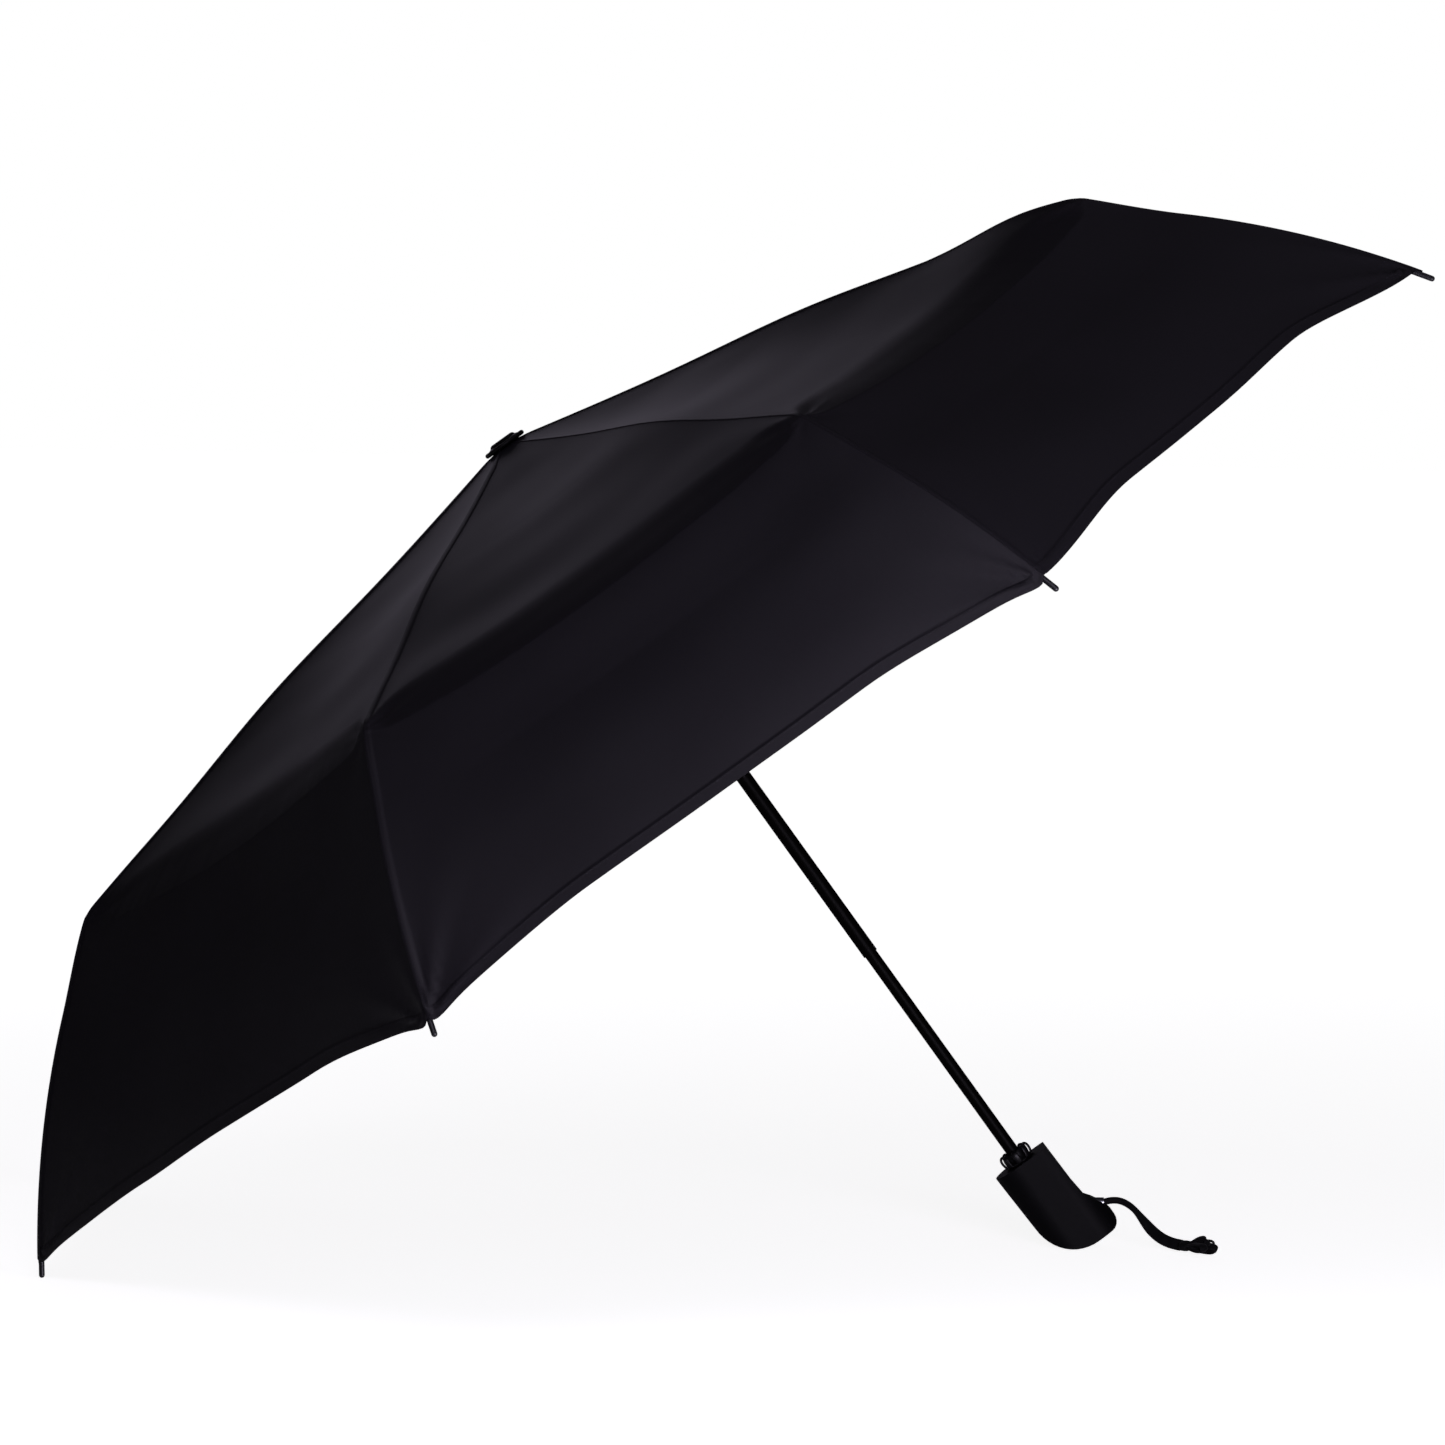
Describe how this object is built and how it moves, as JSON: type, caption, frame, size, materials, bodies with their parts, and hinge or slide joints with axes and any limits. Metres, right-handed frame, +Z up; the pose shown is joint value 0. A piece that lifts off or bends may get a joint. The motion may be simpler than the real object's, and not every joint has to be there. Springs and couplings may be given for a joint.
{
  "type": "folding umbrella",
  "caption": "Open compact umbrella with folding ribs, sliding shaft tubes, scalloped dark canopy, curved handle with push button and wrist strap, lying on rib tips and handle.",
  "frame": {"origin": "on the floor under the middle of the open umbrella as it lies: bottom centre of the bounding box", "axes": "+Z up, +X from the canopy towards the handle, +Y across; the shaft leans in the XZ plane with the cap towards -X"},
  "size_m": [0.7655, 0.947, 0.6033],
  "materials": {
    "fabric": "satin woven polyester, near black",
    "rib_steel": "black painted fluted steel",
    "rib_tip": "black painted steel with moulded tip",
    "tube_steel": "gloss black painted steel tube",
    "wire": "bright steel wire",
    "plastic_black": "matte black moulded plastic",
    "button_plastic": "gloss dark grey moulded plastic",
    "strap": "braided black polyester cord"
  },
  "bodies": {
    "handle": {"lower_tube": "tube_steel", "tip_holder": "plastic_black", "handle_front": "plastic_black", "handle_back": "plastic_black", "handle_screws": "wire", "button_spring": "wire", "strap_eyelet": "plastic_black", "wrist_strap": "strap", "strap_knot": "strap"},
    "middle_tube": {"middle_tube": "tube_steel", "middle_tube_plug": "plastic_black"},
    "upper_tube": {"upper_tube": "tube_steel", "crown": "plastic_black", "crown_wire": "wire", "cap": "plastic_black", "drive_spring": "wire", "canopy_gore_1": "fabric", "canopy_gore_2": "fabric", "canopy_gore_3": "fabric", "canopy_gore_4": "fabric", "canopy_gore_5": "fabric", "canopy_gore_6": "fabric", "canopy_gore_7": "fabric", "canopy_gore_8": "fabric"},
    "runner": {"runner": "plastic_black", "runner_wire": "wire"},
    "push_button": {"push_button": "button_plastic"},
    "upper_rib_1": {"upper_rib_1": "rib_steel"},
    "upper_rib_2": {"upper_rib_2": "rib_steel"},
    "upper_rib_3": {"upper_rib_3": "rib_steel"},
    "upper_rib_4": {"upper_rib_4": "rib_steel"},
    "upper_rib_5": {"upper_rib_5": "rib_steel"},
    "upper_rib_6": {"upper_rib_6": "rib_steel"},
    "upper_rib_7": {"upper_rib_7": "rib_steel"},
    "upper_rib_8": {"upper_rib_8": "rib_steel"},
    "middle_rib_1": {"middle_rib_1": "rib_steel"},
    "middle_rib_2": {"middle_rib_2": "rib_steel"},
    "middle_rib_3": {"middle_rib_3": "rib_steel"},
    "middle_rib_4": {"middle_rib_4": "rib_steel"},
    "middle_rib_5": {"middle_rib_5": "rib_steel"},
    "middle_rib_6": {"middle_rib_6": "rib_steel"},
    "middle_rib_7": {"middle_rib_7": "rib_steel"},
    "middle_rib_8": {"middle_rib_8": "rib_steel"},
    "outer_rib_1": {"outer_rib_1": "rib_tip"},
    "outer_rib_2": {"outer_rib_2": "rib_tip"},
    "outer_rib_3": {"outer_rib_3": "rib_tip"},
    "outer_rib_4": {"outer_rib_4": "rib_tip"},
    "outer_rib_5": {"outer_rib_5": "rib_tip"},
    "outer_rib_6": {"outer_rib_6": "rib_tip"},
    "outer_rib_7": {"outer_rib_7": "rib_tip"},
    "outer_rib_8": {"outer_rib_8": "rib_tip"},
    "stretcher_1": {"stretcher_1": "rib_steel"},
    "stretcher_2": {"stretcher_2": "rib_steel"},
    "stretcher_3": {"stretcher_3": "rib_steel"},
    "stretcher_4": {"stretcher_4": "rib_steel"},
    "stretcher_5": {"stretcher_5": "rib_steel"},
    "stretcher_6": {"stretcher_6": "rib_steel"},
    "stretcher_7": {"stretcher_7": "rib_steel"},
    "stretcher_8": {"stretcher_8": "rib_steel"}
  },
  "joints": [
    {"name": "middle_tube_slide", "type": "slide", "parent": "handle", "child": "middle_tube", "axis": [0.5958, 0, -0.8031], "range_m": [0, 0.148]},
    {"name": "upper_tube_slide", "type": "slide", "parent": "middle_tube", "child": "upper_tube", "axis": [0.5958, 0, -0.8031], "range_m": [0, 0.148], "deforming": ["drive_spring"]},
    {"name": "runner_slide", "type": "slide", "parent": "upper_tube", "child": "runner", "axis": [0.5958, 0, -0.8031], "range_m": [0, 0.1214], "deforming": ["canopy_gore_1", "canopy_gore_2", "canopy_gore_3", "canopy_gore_4", "canopy_gore_5", "canopy_gore_6", "canopy_gore_7", "canopy_gore_8"]},
    {"name": "button_press", "type": "slide", "parent": "handle", "child": "push_button", "axis": [0, -1, 0], "range_m": [0, 0.002], "stiffness_N_per_m": 500, "springref_m": -0.002, "deforming": ["button_spring"]},
    {"name": "upper_rib_1_hinge", "type": "hinge", "parent": "upper_tube", "child": "upper_rib_1", "pos_m": [-0.12094, 0.00421, 0.46287], "axis": [-0.3073, 0.9239, -0.228], "range_deg": [-0.1, 78.2]},
    {"name": "middle_rib_1_hinge", "type": "hinge", "parent": "upper_rib_1", "child": "middle_rib_1", "pos_m": [0.03372, 0.07286, 0.53257], "axis": [0.3073, -0.9239, 0.228], "range_deg": [-0.1, 180.1]},
    {"name": "outer_rib_1_hinge", "type": "hinge", "parent": "middle_rib_1", "child": "outer_rib_1", "pos_m": [0.1879, 0.14001, 0.59684], "axis": [-0.3073, 0.9239, -0.228], "range_deg": [-0.1, 147.5]},
    {"name": "stretcher_1_hinge", "type": "hinge", "parent": "runner", "child": "stretcher_1", "pos_m": [-0.09665, 0.00291, 0.42486], "axis": [0.3073, -0.9239, 0.228], "range_deg": [-0.1, 68.6]},
    {"name": "upper_rib_2_hinge", "type": "hinge", "parent": "upper_tube", "child": "upper_rib_2", "pos_m": [-0.12572, 0.01016, 0.45932], "axis": [-0.742, 0.3827, -0.5505], "range_deg": [-0.1, 78.2]},
    {"name": "middle_rib_2_hinge", "type": "hinge", "parent": "upper_rib_2", "child": "middle_rib_2", "pos_m": [-0.04903, 0.1759, 0.47118], "axis": [0.742, -0.3827, 0.5505], "range_deg": [-0.1, 180.1]},
    {"name": "outer_rib_2_hinge", "type": "hinge", "parent": "middle_rib_2", "child": "outer_rib_2", "pos_m": [0.02888, 0.33802, 0.47886], "axis": [-0.742, 0.3827, -0.5505], "range_deg": [-0.1, 147.5]},
    {"name": "stretcher_2_hinge", "type": "hinge", "parent": "runner", "child": "stretcher_2", "pos_m": [-0.09995, 0.00702, 0.42241], "axis": [0.742, -0.3827, 0.5505], "range_deg": [-0.1, 68.6]},
    {"name": "upper_rib_3_hinge", "type": "hinge", "parent": "upper_tube", "child": "upper_rib_3", "pos_m": [-0.13248, 0.01016, 0.45431], "axis": [-0.742, -0.3827, -0.5505], "range_deg": [-0.1, 78.2]},
    {"name": "middle_rib_3_hinge", "type": "hinge", "parent": "upper_rib_3", "child": "middle_rib_3", "pos_m": [-0.16606, 0.1759, 0.38436], "axis": [0.742, 0.3827, 0.5505], "range_deg": [-0.1, 180.1]},
    {"name": "outer_rib_3_hinge", "type": "hinge", "parent": "middle_rib_3", "child": "outer_rib_3", "pos_m": [-0.19601, 0.33802, 0.31202], "axis": [-0.742, -0.3827, -0.5505], "range_deg": [-0.1, 147.5]},
    {"name": "stretcher_3_hinge", "type": "hinge", "parent": "runner", "child": "stretcher_3", "pos_m": [-0.10462, 0.00702, 0.41894], "axis": [0.742, 0.3827, 0.5505], "range_deg": [-0.1, 68.6]},
    {"name": "upper_rib_4_hinge", "type": "hinge", "parent": "upper_tube", "child": "upper_rib_4", "pos_m": [-0.13726, 0.00421, 0.45076], "axis": [-0.3073, -0.9239, -0.228], "range_deg": [-0.1, 78.2]},
    {"name": "middle_rib_4_hinge", "type": "hinge", "parent": "upper_rib_4", "child": "middle_rib_4", "pos_m": [-0.24882, 0.07286, 0.32296], "axis": [0.3073, 0.9239, 0.228], "range_deg": [-0.1, 180.1]},
    {"name": "outer_rib_4_hinge", "type": "hinge", "parent": "middle_rib_4", "child": "outer_rib_4", "pos_m": [-0.35504, 0.14001, 0.19404], "axis": [-0.3073, -0.9239, -0.228], "range_deg": [-0.1, 147.5]},
    {"name": "stretcher_4_hinge", "type": "hinge", "parent": "runner", "child": "stretcher_4", "pos_m": [-0.10793, 0.00291, 0.41649], "axis": [0.3073, 0.9239, 0.228], "range_deg": [-0.1, 68.6]},
    {"name": "upper_rib_5_hinge", "type": "hinge", "parent": "upper_tube", "child": "upper_rib_5", "pos_m": [-0.13726, -0.00421, 0.45076], "axis": [0.3073, -0.9239, 0.228], "range_deg": [-0.1, 78.2]},
    {"name": "middle_rib_5_hinge", "type": "hinge", "parent": "upper_rib_5", "child": "middle_rib_5", "pos_m": [-0.24882, -0.07286, 0.32296], "axis": [-0.3073, 0.9239, -0.228], "range_deg": [-0.1, 180.1]},
    {"name": "outer_rib_5_hinge", "type": "hinge", "parent": "middle_rib_5", "child": "outer_rib_5", "pos_m": [-0.35504, -0.14001, 0.19404], "axis": [0.3073, -0.9239, 0.228], "range_deg": [-0.1, 147.5]},
    {"name": "stretcher_5_hinge", "type": "hinge", "parent": "runner", "child": "stretcher_5", "pos_m": [-0.10793, -0.00291, 0.41649], "axis": [-0.3073, 0.9239, -0.228], "range_deg": [-0.1, 68.6]},
    {"name": "upper_rib_6_hinge", "type": "hinge", "parent": "upper_tube", "child": "upper_rib_6", "pos_m": [-0.13248, -0.01016, 0.45431], "axis": [0.742, -0.3827, 0.5505], "range_deg": [-0.1, 78.2]},
    {"name": "middle_rib_6_hinge", "type": "hinge", "parent": "upper_rib_6", "child": "middle_rib_6", "pos_m": [-0.16606, -0.1759, 0.38436], "axis": [-0.742, 0.3827, -0.5505], "range_deg": [-0.1, 180.1]},
    {"name": "outer_rib_6_hinge", "type": "hinge", "parent": "middle_rib_6", "child": "outer_rib_6", "pos_m": [-0.19601, -0.33802, 0.31202], "axis": [0.742, -0.3827, 0.5505], "range_deg": [-0.1, 147.5]},
    {"name": "stretcher_6_hinge", "type": "hinge", "parent": "runner", "child": "stretcher_6", "pos_m": [-0.10462, -0.00702, 0.41894], "axis": [-0.742, 0.3827, -0.5505], "range_deg": [-0.1, 68.6]},
    {"name": "upper_rib_7_hinge", "type": "hinge", "parent": "upper_tube", "child": "upper_rib_7", "pos_m": [-0.12572, -0.01016, 0.45932], "axis": [0.742, 0.3827, 0.5505], "range_deg": [-0.1, 78.2]},
    {"name": "middle_rib_7_hinge", "type": "hinge", "parent": "upper_rib_7", "child": "middle_rib_7", "pos_m": [-0.04903, -0.1759, 0.47118], "axis": [-0.742, -0.3827, -0.5505], "range_deg": [-0.1, 180.1]},
    {"name": "outer_rib_7_hinge", "type": "hinge", "parent": "middle_rib_7", "child": "outer_rib_7", "pos_m": [0.02888, -0.33802, 0.47886], "axis": [0.742, 0.3827, 0.5505], "range_deg": [-0.1, 147.5]},
    {"name": "stretcher_7_hinge", "type": "hinge", "parent": "runner", "child": "stretcher_7", "pos_m": [-0.09995, -0.00702, 0.42241], "axis": [-0.742, -0.3827, -0.5505], "range_deg": [-0.1, 68.6]},
    {"name": "upper_rib_8_hinge", "type": "hinge", "parent": "upper_tube", "child": "upper_rib_8", "pos_m": [-0.12094, -0.00421, 0.46287], "axis": [0.3073, 0.9239, 0.228], "range_deg": [-0.1, 78.2]},
    {"name": "middle_rib_8_hinge", "type": "hinge", "parent": "upper_rib_8", "child": "middle_rib_8", "pos_m": [0.03372, -0.07286, 0.53257], "axis": [-0.3073, -0.9239, -0.228], "range_deg": [-0.1, 180.1]},
    {"name": "outer_rib_8_hinge", "type": "hinge", "parent": "middle_rib_8", "child": "outer_rib_8", "pos_m": [0.1879, -0.14001, 0.59684], "axis": [0.3073, 0.9239, 0.228], "range_deg": [-0.1, 147.5]},
    {"name": "stretcher_8_hinge", "type": "hinge", "parent": "runner", "child": "stretcher_8", "pos_m": [-0.09665, -0.00291, 0.42486], "axis": [-0.3073, -0.9239, -0.228], "range_deg": [-0.1, 68.6]}
  ],
  "couplings": [
    {"joint": "upper_rib_1_hinge", "follows": "runner_slide", "rad_per_m": 11.228},
    {"joint": "middle_rib_1_hinge", "follows": "runner_slide", "rad_per_m": 25.878},
    {"joint": "outer_rib_1_hinge", "follows": "runner_slide", "rad_per_m": 21.191},
    {"joint": "stretcher_1_hinge", "follows": "runner_slide", "rad_per_m": 9.848},
    {"joint": "upper_rib_2_hinge", "follows": "runner_slide", "rad_per_m": 11.228},
    {"joint": "middle_rib_2_hinge", "follows": "runner_slide", "rad_per_m": 25.878},
    {"joint": "outer_rib_2_hinge", "follows": "runner_slide", "rad_per_m": 21.191},
    {"joint": "stretcher_2_hinge", "follows": "runner_slide", "rad_per_m": 9.848},
    {"joint": "upper_rib_3_hinge", "follows": "runner_slide", "rad_per_m": 11.228},
    {"joint": "middle_rib_3_hinge", "follows": "runner_slide", "rad_per_m": 25.878},
    {"joint": "outer_rib_3_hinge", "follows": "runner_slide", "rad_per_m": 21.191},
    {"joint": "stretcher_3_hinge", "follows": "runner_slide", "rad_per_m": 9.848},
    {"joint": "upper_rib_4_hinge", "follows": "runner_slide", "rad_per_m": 11.228},
    {"joint": "middle_rib_4_hinge", "follows": "runner_slide", "rad_per_m": 25.878},
    {"joint": "outer_rib_4_hinge", "follows": "runner_slide", "rad_per_m": 21.191},
    {"joint": "stretcher_4_hinge", "follows": "runner_slide", "rad_per_m": 9.848},
    {"joint": "upper_rib_5_hinge", "follows": "runner_slide", "rad_per_m": 11.228},
    {"joint": "middle_rib_5_hinge", "follows": "runner_slide", "rad_per_m": 25.878},
    {"joint": "outer_rib_5_hinge", "follows": "runner_slide", "rad_per_m": 21.191},
    {"joint": "stretcher_5_hinge", "follows": "runner_slide", "rad_per_m": 9.848},
    {"joint": "upper_rib_6_hinge", "follows": "runner_slide", "rad_per_m": 11.228},
    {"joint": "middle_rib_6_hinge", "follows": "runner_slide", "rad_per_m": 25.878},
    {"joint": "outer_rib_6_hinge", "follows": "runner_slide", "rad_per_m": 21.191},
    {"joint": "stretcher_6_hinge", "follows": "runner_slide", "rad_per_m": 9.848},
    {"joint": "upper_rib_7_hinge", "follows": "runner_slide", "rad_per_m": 11.228},
    {"joint": "middle_rib_7_hinge", "follows": "runner_slide", "rad_per_m": 25.878},
    {"joint": "outer_rib_7_hinge", "follows": "runner_slide", "rad_per_m": 21.191},
    {"joint": "stretcher_7_hinge", "follows": "runner_slide", "rad_per_m": 9.848},
    {"joint": "upper_rib_8_hinge", "follows": "runner_slide", "rad_per_m": 11.228},
    {"joint": "middle_rib_8_hinge", "follows": "runner_slide", "rad_per_m": 25.878},
    {"joint": "outer_rib_8_hinge", "follows": "runner_slide", "rad_per_m": 21.191},
    {"joint": "stretcher_8_hinge", "follows": "runner_slide", "rad_per_m": 9.848}
  ]
}
